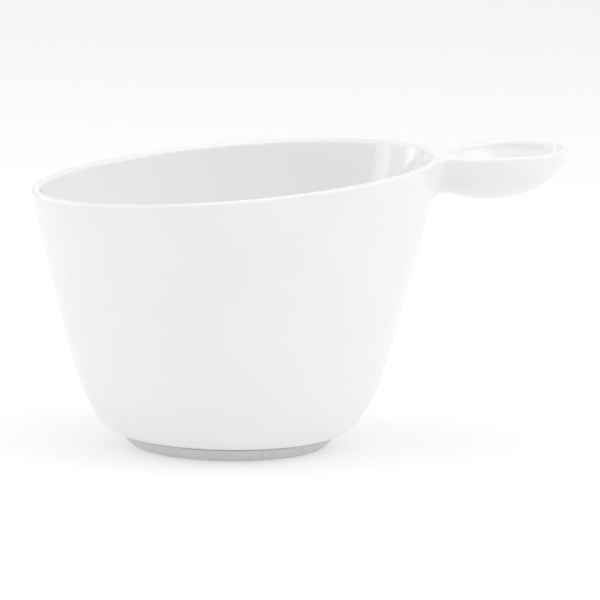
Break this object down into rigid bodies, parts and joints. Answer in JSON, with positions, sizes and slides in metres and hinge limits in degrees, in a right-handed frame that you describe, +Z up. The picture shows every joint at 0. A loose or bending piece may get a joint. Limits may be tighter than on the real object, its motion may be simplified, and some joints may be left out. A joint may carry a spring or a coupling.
{
  "type": "shaving mug",
  "caption": "Deep round porcelain shaving mug with a slanted rounded rim, a rounded base on a foot ring and a small hollow dish as its side handle.",
  "frame": {"origin": "centre of the foot ring's flat underside, on the cup's axis at the level of the table", "axes": "+X from the cup's axis along the handle, +Z up out of the cup's mouth, +Y to the left of the handle as seen from the cup"},
  "size_m": [0.14, 0.1054, 0.0782],
  "materials": {
    "white_glaze": "gloss white glaze",
    "bare_foot": "unglazed, fine matt"
  },
  "bodies": {
    "root": {"cup_body": "white_glaze", "foot_ring": "bare_foot", "handle_neck": "white_glaze", "handle_dish": "white_glaze"}
  },
  "joints": []
}
